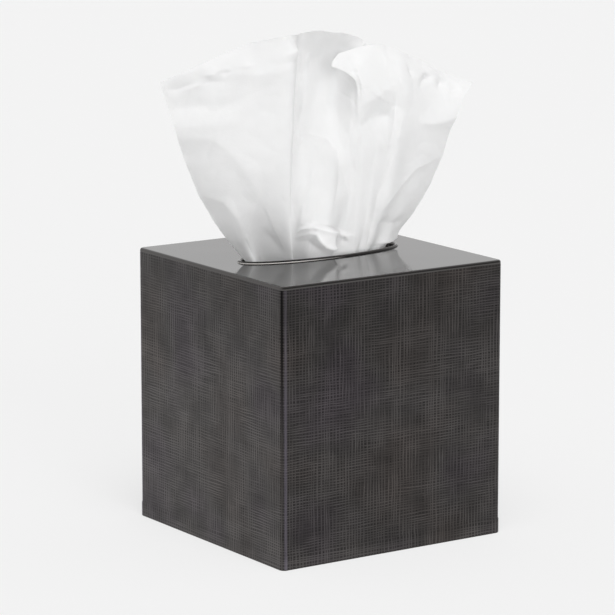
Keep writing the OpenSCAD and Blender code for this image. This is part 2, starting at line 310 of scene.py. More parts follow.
painted_rim_line, tree, shader = new_material("PaintedRimHighlight")
place = add_node(tree, "ShaderNodeTexCoord").outputs["Object"]
along_rim = add_node(tree, "ShaderNodeSeparateXYZ", {0: place}).outputs["X"]
highlight_fade = add_node(tree, "ShaderNodeMapRange",
                {"Value": along_rim, "From Min": HIGHLIGHT_UP_TO, "From Max": HIGHLIGHT_GONE_FROM})
tone = add_node(tree, "ShaderNodeValToRGB", {"Fac": highlight_fade.outputs[0]},
                stops=((0.0, "#DAD7D3"), (1.0, "#1C1B1B")))
tree.links.new(tone.outputs[0], shader.inputs["Base Color"])
shader.inputs["Metallic"].default_value = 0.2
shader.inputs["Roughness"].default_value = 0.4

inside, tree, shader = new_material("DullPlatedBrass")
place = add_node(tree, "ShaderNodeTexCoord").outputs["Object"]
stain = add_node(tree, "ShaderNodeTexNoise",
                 {"Vector": place, "Scale": STAINS_PER_M, "Detail": 5.0})
tone = add_node(tree, "ShaderNodeValToRGB", {"Fac": stain.outputs["Fac"]},
                stops=((0.35, "#3A3836"), (0.65, "#4B4845")))
tree.links.new(tone.outputs[0], shader.inputs["Base Color"])
shader.inputs["Metallic"].default_value = 1.0
shader.inputs["Roughness"].default_value = 0.48
print("made", painted_rim_line.name, "and", inside.name)

# %% [markdown]
# The cover could be five plates with a hole cut in one, but cut meshes shade badly at the
# rim. Instead, one sheet-metal section is carried round a square: up the outside, over the
# top bend, across to the oval, over the bead, down the lip, and back along the inside to the
# folded hem. Wall rings and oval rings have the same number of points, so they join in clean
# four-sided faces.

# %% The cover's rings
CORNER_STEPS = 30
RING = 4 * (CORNER_STEPS + 1)
SHARPEST = 0.0002  # radius that is left where a corner is nearly used up


def wall_ring(inset, z):
    r = max(SHARPEST, CORNER_R - inset)
    c = HALF - inset - r
    points = []
    for k, (sx, sy) in enumerate(((1, 1), (-1, 1), (-1, -1), (1, -1))):
        for j in range(CORNER_STEPS + 1):
            a = math.radians(90 * k + 90 * j / CORNER_STEPS)
            points.append((c * sx + r * math.cos(a), c * sy + r * math.sin(a), z))
    return points


def mouth_ring(grow, z):
    angles = [2 * math.pi * (i + 0.5) / RING for i in range(RING)]
    return [((MOUTH_A + grow) * math.cos(a), (MOUTH_B + grow) * math.sin(a), z) for a in angles]


def quarter(steps, back=False):
    turns = [math.radians(90 * i / steps) for i in range(steps + 1)]
    return turns[::-1] if back else turns


print("each ring has", RING, "points")

# %% [markdown]
# The section is a list of stations in order, each with its finish, which the faces up to the
# next station take. A separate mesh for each finish would also do, but it would leave seams.
# The etching stops just short of the top bend.

# %% The cover's section
SIDE, PLAIN, DULL, RIM_HIGHLIGHT = 0, 1, 2, 3
HEM_STEPS, EDGE_STEPS, BEAD_STEPS, INNER_STEPS = 4, 8, 6, 4
HEM_SLOPE = 0.001
LAST_ETCHED, PLAIN_START = 0.0010, 0.0006  # two rings, so far below the top bend
TOP_MARGIN, BEAD_MARGIN = 0.0005, 0.0004  # flat rings that keep the bends crisp

stations = [(DULL, wall_ring(HEM_R * (1 - math.sin(a)) - HEM_OUT, HEM_R * (1 - math.cos(a))))
            for a in quarter(HEM_STEPS)]
stations[-1] = (SIDE, stations[-1][1])
stations += [(SIDE, wall_ring(-HEM_OUT, HEM_H)),
             (SIDE, wall_ring(0, HEM_H + HEM_SLOPE)),
             (SIDE, wall_ring(0, TOP - EDGE_R - LAST_ETCHED)),
             (PLAIN, wall_ring(0, TOP - EDGE_R - PLAIN_START))]
stations += [(PLAIN, wall_ring(EDGE_R * (1 - math.cos(a)), TOP - EDGE_R * (1 - math.sin(a))))
             for a in quarter(EDGE_STEPS)]
stations += [(PLAIN, wall_ring(EDGE_R + TOP_MARGIN, TOP)),
             (PLAIN, mouth_ring(BEAD_W + BEAD_MARGIN, TOP))]
bead_start = len(stations)
stations += [(PLAIN, mouth_ring(BEAD_W / 2 * (1 + math.sin(a)), TOP + BEAD_H * math.cos(a)))
             for a in quarter(BEAD_STEPS, True)]
# the outer foot of the bead takes the painted rim highlight
stations[bead_start] = (RIM_HIGHLIGHT, stations[bead_start][1])
stations += [(PLAIN, mouth_ring(BEAD_W / 2 * (1 - math.sin(a)), TOP + BEAD_H * math.cos(a)))
             for a in quarter(BEAD_STEPS)[1:]]
stations += [(PLAIN, mouth_ring(0, TOP - LIP_DEEP)),
             (DULL, mouth_ring(SHEET, TOP - LIP_DEEP))]
stations += [(DULL, mouth_ring(LIP_R - (LIP_R - SHEET) * math.sin(a),
                               TOP - LIP_R + (LIP_R - SHEET) * math.cos(a)))
             for a in quarter(INNER_STEPS, True)]
stations += [(DULL, wall_ring(EDGE_R - (EDGE_R - SHEET) * math.cos(a),
                              TOP - EDGE_R + (EDGE_R - SHEET) * math.sin(a)))
             for a in quarter(INNER_STEPS, True)]
stations += [(DULL, wall_ring(SHEET, HEM_H)),
             (DULL, wall_ring(2 * SHEET, HEM_H))]
stations += [(DULL, wall_ring(2 * SHEET - HEM_R * (1 - math.sin(a)), HEM_R * (1 - math.cos(a))))
             for a in quarter(HEM_STEPS, True)]
print("the section has", len(stations), "stations")

# %% [markdown]
# The rings are joined into one closed skin. The map for the linen runs round the walls in
# metres one way and straight up the other, as the sheet lay when it was etched. Unwrapping
# would also give a map, but not one in known millimetres.

# %% The cover's mesh
SHARP_DEG = 35

rings = [ring for _, ring in stations]
count = len(rings)
faces, finishes = [], []
for r in range(count):
    s = (r + 1) % count
    for i in range(RING):
        j = (i + 1) % RING
        faces.append((r * RING + i, r * RING + j, s * RING + j, s * RING + i))
        finishes.append(stations[r][0])
mesh = bpy.data.meshes.new("metal_cover")
mesh.from_pydata([p for ring in rings for p in ring], [], faces)
for finish in (etched, polished, inside, painted_rim_line):
    mesh.materials.append(finish)
mesh.polygons.foreach_set("material_index", finishes)

outline = np.array(wall_ring(0, 0))
strides = np.linalg.norm(np.diff(np.vstack([outline, outline[:1]]), axis=0), axis=1)
way_round = np.concatenate([[0], np.cumsum(strides)])
sheet_map = mesh.uv_layers.new(name="SheetMap")
for face in mesh.polygons:
    for corner, loop in enumerate(face.loop_indices):
        point = mesh.vertices[mesh.loops[loop].vertex_index].co
        step = face.index % RING + (1 if corner in (1, 2) else 0)
        sheet_map.data[loop].uv = (way_round[step], point.z)
mesh.update()
mesh.shade_smooth()
mesh.set_sharp_from_angle(angle=math.radians(SHARP_DEG))

cover = bpy.data.objects.new("metal_cover", mesh)
bpy.context.collection.objects.link(cover)
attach(cover, "root")
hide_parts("cover")
print("cover:", len(faces), "faces in", count, "rings")

# %% [markdown]
# The carton, its film and the pack of tissues are almost hidden. They show through the
# opening and when the cover is lifted, so their solids keep their shapes and take real
# finishes. Folding board is pressed from waste fibres: a pale, matt skin with faint mottling.
# The fibres are finer than a pixel, so they are drawn about a millimetre wide.

# %% Carton board
FIBRES_PER_M = 900.0  # about 1.1 mm each

board, tree, shader = new_material("GreyBackedBoard")
place = add_node(tree, "ShaderNodeTexCoord").outputs["Object"]
fibres = add_node(tree, "ShaderNodeTexNoise",
                  {"Vector": place, "Scale": FIBRES_PER_M, "Detail": 5.0})
tone = add_node(tree, "ShaderNodeValToRGB", {"Fac": fibres.outputs["Fac"]},
                stops=((0.3, "#CFC9BC"), (0.7, "#DCD7CB")))
nap = add_node(tree, "ShaderNodeBump",
               {"Height": fibres.outputs["Fac"], "Strength": 0.2, "Distance": 0.0001})
tree.links.new(tone.outputs[0], shader.inputs["Base Color"])
shader.inputs["Roughness"].default_value = 0.75
tree.links.new(nap.outputs[0], shader.inputs["Normal"])
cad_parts["carton"].material_slots[0].material = board
print("dressed the carton in", board.name)

# %% [markdown]
# The film under the carton's opening is blown polythene: clear, slightly milky, and never
# quite flat. Real glass-like refraction would cost render time and show nothing in a film so
# thin, so part of it is simply let through, and shallow wrinkles catch the light.

# %% Slit film
WRINKLES_PER_M = 120.0  # about 8 mm each

film, tree, shader = new_material("PolytheneFilm")
place = add_node(tree, "ShaderNodeTexCoord").outputs["Object"]
wrinkles = add_node(tree, "ShaderNodeTexNoise",
                    {"Vector": place, "Scale": WRINKLES_PER_M, "Detail": 2.0})
slack = add_node(tree, "ShaderNodeBump",
                 {"Height": wrinkles.outputs["Fac"], "Strength": 0.3, "Distance": 0.0005})
shader.inputs["Base Color"].default_value = linear("#F0F2F3")
shader.inputs["Roughness"].default_value = 0.22
shader.inputs["Alpha"].default_value = 0.35
tree.links.new(slack.outputs[0], shader.inputs["Normal"])
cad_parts["slit_film"].material_slots[0].material = film
print("dressed the slit film in", film.name)

# %% [markdown]
# The pack is many interfolded tissues pressed together. Each could be a sheet of its own, but
# only the edges of the layers ever show, and bands of light and shade give those. The layers
# are finer than a pixel, so the bands are drawn coarser.

# %% Tissue pack
BAND_SCALE = 160.0  # a band about every 2 mm

pack, tree, shader = new_material("InterfoldedTissue")
place = add_node(tree, "ShaderNodeTexCoord").outputs["Object"]
layers = add_node(tree, "ShaderNodeTexWave",
                  {"Vector": place, "Scale": BAND_SCALE, "Distortion": 2.0, "Detail": 2.0},
                  bands_direction="X")
tone = add_node(tree, "ShaderNodeValToRGB", {"Fac": layers.outputs["Fac"]},
                stops=((0.0, "#DEDEDC"), (1.0, "#F2F2F0")))
edges = add_node(tree, "ShaderNodeBump",
                 {"Height": layers.outputs["Fac"], "Strength": 0.3, "Distance": 0.0004})
tree.links.new(tone.outputs[0], shader.inputs["Base Color"])
shader.inputs["Roughness"].default_value = 0.9
tree.links.new(edges.outputs[0], shader.inputs["Normal"])
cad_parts["tissue_pack"].material_slots[0].material = pack
print("dressed the tissue pack in", pack.name)

# %% [markdown]
# Facial tissue is two thin plies of creped paper. It is white but not bright: light passes
# through it, so its shadow sides glow softly and nothing on it shines. Scattering under the
# surface could be simulated, but a sheet this thin needs only a share of its light passed on
# to the other side. The crepe is a tenth of a millimetre, too fine to show, so it is drawn
# coarser, about a millimetre, as a faint bump.

# %% Two-ply tissue paper
LIGHT_THROUGH = 0.38
CREPE_PER_M, CLOUDS_PER_M = 700.0, 90.0  # about 1.4 mm and 11 mm each

paper, tree, shader = new_material("CrepedTissuePaper")
place = add_node(tree, "ShaderNodeTexCoord").outputs["Object"]
drawn_out = add_node(tree, "ShaderNodeVectorMath", {0: place, 1: (1, 1, 3)},
                     operation="MULTIPLY").outputs[0]
crepe = add_node(tree, "ShaderNodeTexNoise",
                 {"Vector": drawn_out, "Scale": CREPE_PER_M, "Detail": 4.0})
cloudy = add_node(tree, "ShaderNodeTexNoise",
                  {"Vector": place, "Scale": CLOUDS_PER_M, "Detail": 4.0})
tone = add_node(tree, "ShaderNodeValToRGB", {"Fac": cloudy.outputs["Fac"]},
                stops=((0.3, "#F1F1F1"), (0.7, "#F6F6F6")))
soft = add_node(tree, "ShaderNodeBump",
                {"Height": crepe.outputs["Fac"], "Strength": 0.25, "Distance": 0.0002})
tree.links.new(tone.outputs[0], shader.inputs["Base Color"])
shader.inputs["Roughness"].default_value = 0.95
shader.inputs["Specular IOR Level"].default_value = 0.1
tree.links.new(soft.outputs[0], shader.inputs["Normal"])
glow = add_node(tree, "ShaderNodeBsdfTranslucent",
                {"Color": linear("#F6F6F6"), "Normal": soft.outputs[0]})
through = add_node(tree, "ShaderNodeMixShader",
                   {"Fac": LIGHT_THROUGH, 1: shader.outputs[0], 2: glow.outputs[0]})
tree.links.new(through.outputs[0], tree.nodes["Material Output"].inputs["Surface"])
print("made", paper.name)

# %% [markdown]
# The raised tissue is one flat sheet, 213 mm wide, gathered to the length of the opening and
# fanned out above it. Simulated cloth would fold too, but into folds of its own. So the sheet
# is lofted like a ship's hull: four sections list the same folds from the left edge to the
# right, at the neck, waist, chest and top edge. The numbers were read off the photograph's
# folds, as shares of the fan's half width and depth, and the top edge adds a share of its
# height.

# %% Sections of the raised tissue
NECK = np.array([
    [-0.97, 0.10], [-0.90, -0.70], [-0.70, 0.40], [-0.52, -0.96], [-0.48, -0.70],
    [-0.41, -0.20], [-0.30, -0.94], [-0.02, -0.94], [0.09, -0.30], [0.37, -0.62],
    [0.47, -0.48], [0.57, -0.66], [0.67, -0.36], [0.79, -0.50], [0.94, 0.20]])
WAIST = np.array([
    [-0.70, 0.38], [-0.65, -0.08], [-0.52, -0.38], [-0.375, -0.69], [-0.34, -0.55],
    [-0.275, -0.56], [-0.19, -0.66], [-0.06, -0.72], [0.13, -0.32], [0.22, -0.38],
    [0.305, -0.34], [0.37, -0.48], [0.50, -0.30], [0.60, -0.28], [0.735, -0.12]])
CHEST = np.array([
    [-0.875, 0.47], [-0.75, 0.09], [-0.55, -0.34], [-0.345, -0.64], [-0.23, -0.08],
    [-0.14, -0.11], [-0.04, -0.06], [0.08, -0.12], [0.15, -0.38], [0.22, -0.50],
    [0.33, -0.52], [0.42, -0.74], [0.555, -0.60], [0.68, -0.54], [0.825, -0.48]])
CREST = np.array([
    [-1.04, 0.54, 0.82], [-0.795, 0.20, 0.90], [-0.54, -0.20, 0.97],
    [-0.31, -0.58, 1.01], [-0.12, 0.04, 1.00], [-0.02, -0.12, 1.012],
    [0.08, -0.02, 1.00], [0.21, 0.04, 0.985], [0.38, 0.05, 0.945],
    [0.195, -0.22, 0.925], [0.44, -0.22, 0.95], [0.575, -0.36, 0.91],
    [0.735, -0.36, 0.85], [0.91, -0.40, 0.78], [1.01, -0.72, 0.745]])
FAN_HALF, FAN_DEEP, RISE = 0.080, 0.025, 0.1095
LEVELS = (0.0, 0.24, 0.56, 1.0)  # heights of the four sections, as shares of the rise
print(len(NECK), "folds in", len(LEVELS), "sections")

# %% [markdown]
# A smooth curve joins the sections each way: one polynomial through all four going up, and a
# spline through the folds going across, which passes through every fold as written.

# %% Curves through the folds
def neck_section(a, b, z):
    x, y = NECK[:, 0], NECK[:, 1]
    return np.column_stack([x * a, y * b * np.sqrt(1 - x * x), np.full(len(x), z)])


def fan_section(shares, t):
    heights = TOP + t * CREST[:, 2] * RISE
    return np.column_stack([shares[:, 0] * FAN_HALF, shares[:, 1] * FAN_DEEP, heights])


def loft_row(sections, t):
    row = 0
    for i, here in enumerate(LEVELS):
        others = [v for v in LEVELS if v != here]
        row = row + math.prod((t - v) / (here - v) for v in others) * sections[i]
    return row


def smooth_across(row, u):
    k = np.minimum(np.floor(u).astype(int), len(row) - 2)
    f = (u - k)[:, None]
    a, b, c, d = (row[np.clip(k + i, 0, len(row) - 1)] for i in (-1, 0, 1, 2))
    squared = (2 * a - 5 * b + 4 * c - d) * f ** 2
    cubed = (3 * b - a - 3 * c + d) * f ** 3
    return 0.5 * (2 * b + (c - a) * f + squared + cubed)


print("the highest fold ends at", round(float(fan_section(CREST, 1.0)[:, 2].max()), 4), "m")

# %% [markdown]
# Below the opening the sheet narrows through the film's slit to the pack. That part is plain
# straight rows. Above, the rows follow the loft.

# %% The raised tissue's smooth loft
FOOT_Z, FILM_Z = 0.1141, 0.1258
SLIT_A, SLIT_B, EASE = 0.040, 0.008, 0.0010
FOOT_PINCH = 0.88  # the foot's length as a share of the slit's
COLUMNS, ROWS, LOW_ROWS = 336, 180, 9

across = np.linspace(0, len(NECK) - 1, COLUMNS + 1)
up = np.linspace(0, 1, ROWS + 1)
sections = [neck_section(MOUTH_A - EASE, MOUTH_B - EASE, TOP),
            fan_section(WAIST, LEVELS[1]),
            fan_section(CHEST, LEVELS[2]),
            fan_section(CREST, LEVELS[3])]
foot = [neck_section((SLIT_A - EASE) * FOOT_PINCH, SLIT_B - EASE, FOOT_Z),
        neck_section(SLIT_A - EASE, SLIT_B - EASE, FILM_Z)]
steps = np.linspace(0, 1, LOW_ROWS)
low_rows = [(1 - f) * foot[0] + f * foot[1] for f in steps]
low_rows += [(1 - f) * foot[1] + f * sections[0] for f in steps[1:-1]]
free_rows = [loft_row(sections, t) for t in up]
grid = np.array([smooth_across(row, across) for row in low_rows + free_rows])
low = len(low_rows)
free = grid[low:]
print("lofted", free.shape[0], "rows of", free.shape[1], "points above the opening")

# %% [markdown]
# Smooth folds alone look like cloth. Paper also creases: it keeps a sharp line where it was
# bent, rolls over at a torn edge and crumples where fingers pulled it. These could be sculpted
# by hand, but written as lines they can be read and changed. Each crease is a line drawn on
# the sheet, as fold number, share of the height and rise in millimetres, with how far it
# reaches to its left and right and how round its top is. The sheet is pushed out or in along
# its own normal, so a crease shows from both sides.

# %% Creases of the raised tissue
CREASES = [
    # edge of the left wing rolled back, and the small crumples along it
    ([(0.45, 0.99, 0.6), (0.83, 0.985, 1.2), (1.23, 0.945, 2.0), (1.65, 0.90, 2.0),
      (2.1, 0.865, 2.0), (2.62, 0.855, 1.4)], 7, 5, 1.2),
    ([(0.6, 1.0, -0.8), (1.2, 1.0, -3.6), (2.0, 1.0, -5.2), (2.75, 1.0, -3.6),
      (3.1, 1.0, -5.0), (3.5, 1.0, -1.2)], 7, 7, 0.5),
    ([(0.1, 0.96, 0.0), (0.4, 0.93, -1.4), (0.8, 0.92, -0.2)], 2, 2, 0.4),
    ([(0.7, 0.89, 0.0), (1.1, 0.90, -1.2), (1.5, 0.87, -0.2)], 2, 2, 0.4),
    ([(0.5, 0.91, 0.0), (0.85, 0.90, 1.0), (1.2, 0.88, 0.0)], 1.6, 1.6, 0.4),
    ([(1.2, 0.93, 0.0), (1.45, 0.915, -1.3), (1.7, 0.905, 0.0)], 1.5, 1.5, 0.3),
    ([(1.6, 0.935, 0.0), (1.9, 0.915, 1.2), (2.15, 0.905, 0.0)], 1.5, 1.5, 0.3),
    ([(0.9, 0.945, 0.0), (1.15, 0.93, 1.0), (1.35, 0.92, 0.0)], 1.5, 1.5, 0.3),
    # groove, ridge and long soft fold sweeping down the left wing, and the folds at its foot
    ([(0.08, 0.86, -0.8), (0.83, 0.80, -1.6), (1.48, 0.76, -0.6)], 4, 4, 2.0),
    ([(0.35, 0.73, 1.0), (1.15, 0.69, 1.6), (1.73, 0.68, 0.6)], 5, 5, 2.0),
    ([(0.12, 0.70, 0.8), (1.1, 0.62, 1.8), (1.55, 0.52, 2.2), (1.85, 0.42, 2.2),
      (2.12, 0.30, 1.0)], 14, 5, 1.5),
    ([(0.2, 0.37, 0.6), (0.98, 0.32, 1.8), (1.2, 0.24, 2.2), (1.2, 0.14, 1.2)], 7, 3, 0.8),
    ([(2.0, 0.17, -0.4), (2.3, 0.11, -1.8), (2.5, 0.06, -1.8)], 4, 4, 1.0),
    # knob where the long upright crease ends, the leaf in the hollow beside it, a dark wedge
    ([(2.95, 0.98, 0.8), (3.08, 0.935, 3.2), (3.12, 0.89, 0.4)], 3, 3, 0.8),
    ([(4.05, 0.93, 0.3), (4.2, 0.88, 1.6), (4.35, 0.80, 1.6), (4.42, 0.72, 0.0)], 2, 2, 0.5),
    ([(3.4, 0.86, -1.6), (3.8, 0.76, -4.2), (4.2, 0.67, -4.8), (4.5, 0.58, -0.8)], 3, 3, 0.8),
    # notch under the back panel
    ([(3.9, 0.945, -0.6), (4.6, 0.90, -1.6), (5.25, 0.86, -2.6), (5.75, 0.875, -2.4),
      (6.5, 0.91, -1.8), (6.98, 0.93, -1.4), (7.6, 0.94, -0.6)], 8, 8, 0.8),
    # flared lobe on the right, its ridge, the leaf-shaped pocket below and that pocket's edge
    ([(9.3, 1.0, -2.0), (10.2, 1.0, -4.5), (11.2, 1.0, -3.5), (12.2, 1.0, -2.2),
      (13.4, 1.0, -1.8)], 8, 8, 0.5),
    ([(8.9, 0.74, 0.5), (9.3, 0.74, 2.0), (9.9, 0.755, 3.4), (10.4, 0.79, 2.4),
      (10.9, 0.83, 0.3)], 12, 5, 2.5),
    ([(8.97, 0.63, -1.6), (9.7, 0.645, -4.4), (10.3, 0.665, -6.0), (10.58, 0.72, -4.8),
      (10.62, 0.785, -2.0)], 6, 6, 1.0),
    ([(10.72, 0.77, 0.5), (10.72, 0.70, 1.6), (10.74, 0.62, 1.8), (10.68, 0.54, 0.8)],
     1.0, 5, 0.3),
    # upright creases right of the middle
    ([(8.85, 0.76, 0.5), (8.47, 0.42, 1.0), (8.95, 0.09, 0.6)], 1.8, 3.0, 0.3),
    ([(11.05, 0.57, 0.8), (10.6, 0.29, 2.2), (10.58, 0.10, 1.4)], 7, 2.2, 0.3),
    # folds of the right wing, the pocket at its foot and the crumpled corner
    ([(13.88, 0.55, 1.0), (12.8, 0.47, 1.6), (11.3, 0.27, 1.4), (10.9, 0.20, 0.3)],
     3.5, 8, 0.5),
    ([(12.2, 0.69, 0.4), (12.8, 0.72, 2.2), (13.3, 0.75, 2.8), (13.98, 0.80, 2.6)],
     7, 3.5, 0.8),
    ([(11.33, 0.13, -1.4), (12.3, 0.13, -2.8), (13.3, 0.13, -2.2)], 3.5, 3.5, 0.8),
    ([(11.2, 0.96, 0.0), (11.43, 0.92, -1.8), (11.5, 0.88, 0.0)], 2.5, 2.5, 0.5),
    ([(12.2, 0.955, -0.8), (12.28, 0.94, -3.2), (12.1, 0.90, -1.6), (11.9, 0.86, 0.0)],
     1.8, 2.2, 0.4),
    ([(12.7, 0.965, -0.4), (12.83, 0.945, -2.4), (12.75, 0.90, 0.0)], 2, 2, 0.4),
    ([(13.1, 0.955, -0.3), (13.28, 0.925, -2.4), (13.2, 0.90, 0.0)], 2, 2, 0.4),
    ([(11.9, 0.985, 0.3), (12.6, 0.975, 1.0), (13.3, 0.97, 1.0), (13.9, 0.96, 0.5)],
     2, 1.5, 0.4),
    ([(13.1, 0.87, 0.0), (13.5, 0.89, 1.4), (13.9, 0.90, 0.2)], 2.5, 2, 0.5),
    # rounded finger in the middle, its right edge and the hollow above it
    ([(5.0, 0.47, 0.5), (5.2, 0.40, 1.5), (5.3, 0.30, 2.3), (5.35, 0.20, 2.6)],
     2.5, 2.5, 4.0),
    ([(5.9, 0.50, 1.0), (6.25, 0.43, 2.4), (6.4, 0.34, 3.2), (6.4, 0.25, 3.8),
      (6.35, 0.195, 4.0)], 2.5, 2.5, 9.0),
    ([(7.35, 0.46, 0.0), (7.45, 0.39, -0.8), (7.42, 0.32, -1.4), (7.25, 0.26, -1.8),
      (7.05, 0.20, -1.2)], 5, 1.8, 0.6),
    ([(4.5, 0.50, -1.0), (5.1, 0.55, -2.8), (5.9, 0.56, -3.6), (6.8, 0.54, -3.2),
      (7.35, 0.49, -1.8), (7.55, 0.42, -0.6)], 12, 2.6, 1.2),
    # crumples under the finger: a swelling, a dark gap, two thin lips, a hollow and a hole
    ([(5.5, 0.11, 0.8), (6.2, 0.12, 1.4), (7.0, 0.09, 1.6), (7.8, 0.06, 0.8)], 4, 4, 2.0),
    ([(5.9, 0.178, -0.6), (6.4, 0.172, -2.8), (7.0, 0.152, -3.0), (7.7, 0.125, -2.0),
      (8.3, 0.105, -0.8)], 4.0, 0.5, 0.2),
    ([(5.2, 0.14, 0.6), (5.5, 0.155, 1.4), (6.03, 0.165, 1.8), (6.4, 0.155, 1.8),
      (6.93, 0.135, 1.8), (7.7, 0.105, 1.5), (8.5, 0.08, 0.8)], 0.8, 1.0, 0.2),
    ([(5.2, 0.115, 0.5), (5.6, 0.125, 1.2), (5.9, 0.14, 1.8), (6.18, 0.135, 2.4),
      (6.36, 0.105, 2.6), (6.6, 0.075, 2.6), (7.1, 0.045, 2.6), (7.8, 0.02, 2.2)],
     1.3, 2.0, 0.4),
    ([(5.4, 0.085, -0.8), (5.9, 0.095, -1.4), (6.2, 0.07, -1.2), (6.5, 0.04, -0.8)],
     2.5, 2.5, 0.8),
    ([(8.2, 0.075, 0.0), (8.4, 0.065, -2.2), (8.6, 0.055, -0.4)], 0.9, 0.9, 0.2),
    # the right wing's foot turned out over the rim
    ([(11.9, 0.02, 0.8), (12.6, 0.025, 2.0), (13.3, 0.035, 2.4), (14.0, 0.05, 2.0)],
     2.0, 1.0, 0.3),
]
print(len(CREASES), "creases drawn")

# %% [markdown]
# A point of the sheet answers to the nearest spot of a crease, less and less with distance.
# The sheet folds over itself, so a crease may only reach points within about two folds of it:
# otherwise it would push the layer behind as well.

# %% How far a crease lifts the sheet
SPOTS_PER_POINT = 16
FOLDS_REACHED = 2.4


def crease_lift(line, left, right, round_off):
    """Rise in metres of every point of the free sheet for one crease."""
    line = np.array(line)
    stops = np.linspace(0, len(line) - 1, SPOTS_PER_POINT * len(line))
    u, t, rise = (np.interp(stops, np.arange(len(line)), line[:, i]) for i in range(3))
    spots = np.array([smooth_across(loft_row(sections, h), np.array([w]))[0]
                      for w, h in zip(u, t)])
    du, dt = np.gradient(u), np.gradient(t)
    best = np.full(free.shape[:2], 1.0)
    lift = np.zeros(free.shape[:2])
    for k in range(len(spots)):
        away = np.linalg.norm(free - spots[k], axis=2)
        layer = np.clip(FOLDS_REACHED - np.abs(across - u[k]), 0, 1)[None, :]
        side = du[k] * (up[:, None] - t[k]) - dt[k] * (across[None, :] - u[k])
        reach = np.where(side > 0, left, right) / 1000
        soft = np.hypot(away, round_off / 1000) - round_off / 1000
        nearer = away < best
        best = np.where(nearer, away, best)
        lift = np.where(nearer, rise[k] / 1000 * np.exp(-soft / reach) * layer, lift)
    return lift


print("a crease reaches", FOLDS_REACHED, "folds at most")

# %% [markdown]
# Before the creases, the lobe's edge is tugged to the left, as a fingertip would have done.
# The tug is a smooth bell across the folds that grows towards the top edge and eases off at
# the very tip. Moving single points would leave kinks.

# %% Tug the lobe
TUG_FOLD, TUG_WIDTH = 9.0, 0.9
TUG_FROM, TUG_SPAN, TUG_GROWTH = 0.80, 0.15, 2.2
TIP_FROM, TIP_SPAN, TIP_EASE = 0.95, 0.05, 0.4
TUG_PULL = np.array([-0.013, 0.0003, -0.003])

tug = (np.exp(-((across - TUG_FOLD) / TUG_WIDTH) ** 2)[None, :]
       * np.clip((up - TUG_FROM) / TUG_SPAN, 0, 1)[:, None] ** TUG_GROWTH)
tug *= 1 - TIP_EASE * np.clip((up - TIP_FROM) / TIP_SPAN, 0, 1)[:, None] ** 2
free += tug[..., None] * TUG_PULL
print("tugged by up to", round(float(tug.max() * np.linalg.norm(TUG_PULL)) * 1000, 1), "mm")

# %% [markdown]
# Between the creases, paper is never quite smooth. A bump in the material could suggest that,
# but the crumples also show in the outline. So four layers of noise, from broad to fine, move
# the sheet itself, and two of them have ridges, as crumpled paper does. All of it fades out at
# the opening, where the sheet is pulled tight through the slit.

# %% Push the creases out along the sheet's normal
CRUMPLES = (  # waves for each fold and over the height, seed, millimetres, ridged or not
    (0.9, 7, 0.5, 0.5, False), (0.7, 5, 4.5, 0.6, True),
    (1.7, 13, 7.5, 0.4, True), (2.6, 21, 9.5, 0.16, False))
TIGHT_UP_TO = 0.04  # share of the height over which creases fade in
CALM_UP_TO, CALM_LEAST = 0.3, 0.25  # the same for the crumples


def crumple_at(u, t):
    height = 0
    for per_fold, over_height, seed, millimetres, ridged in CRUMPLES:
        wave = noise.noise(Vector((u * per_fold, t * over_height, seed)))
        height += (abs(wave) if ridged else wave) * millimetres
    return height


normal = np.cross(np.gradient(free, axis=1), np.gradient(free, axis=0))
normal /= np.linalg.norm(normal, axis=2, keepdims=True)
settle = np.clip(up / TIGHT_UP_TO, 0, 1)[:, None]
calm = np.clip(up / CALM_UP_TO, CALM_LEAST, 1)[:, None]
lift = sum(crease_lift(*crease) for crease in CREASES)
crumple = np.array([[crumple_at(u, t) for u in across] for t in up]) / 1000
grid[low:] += normal * ((lift + crumple * calm) * settle)[..., None]
print("creases from", round(float(lift.min()) * 1000, 1), "to",
      round(float(lift.max()) * 1000, 1), "mm, crumples up to",
      round(float(np.abs(crumple).max()) * 1000, 2), "mm")

# %% [markdown]
# The rows are sewn into one open sheet, a single layer as the real one is, and smooth shading
# rounds the fine faces. It rides with the box and stands for the raised solid.

# %% The raised tissue's mesh
rows, columns = grid.shape[:2]
faces = []
for r in range(rows - 1):
    for i in range(columns - 1):
        a = r * columns + i
        faces.append((a, a + 1, a + columns + 1, a + columns))
mesh = bpy.data.meshes.new("drawn_tissue")
mesh.from_pydata([tuple(p) for p in grid.reshape(-1, 3)], [], faces)
mesh.materials.append(paper)
mesh.shade_smooth()
tissue = bpy.data.objects.new("drawn_tissue", mesh)
bpy.context.collection.objects.link(tissue)
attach(tissue, "root")
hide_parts("raised_tissue")
top_edge = np.linalg.norm(np.diff(grid[-1], axis=0), axis=1).sum()
print("tissue:", len(faces), "faces; top edge", round(float(top_edge), 4), "m")

# %% [markdown]
# The photograph was taken on a seamless pale sweep under broad, soft light. The floor keeps
# one tone to the edges of the picture, apart from the shadow at the box's foot: most of its
# white is shown to the camera and to the metal, and only the rest answers to the lamps.
# Stronger lamps would whiten it too, but the tissue with it.

# %% Floor
SHOWN_WHITE = 0.72  # share of the floor's tone that no lamp changes
FLOOR_REACH = 12.0

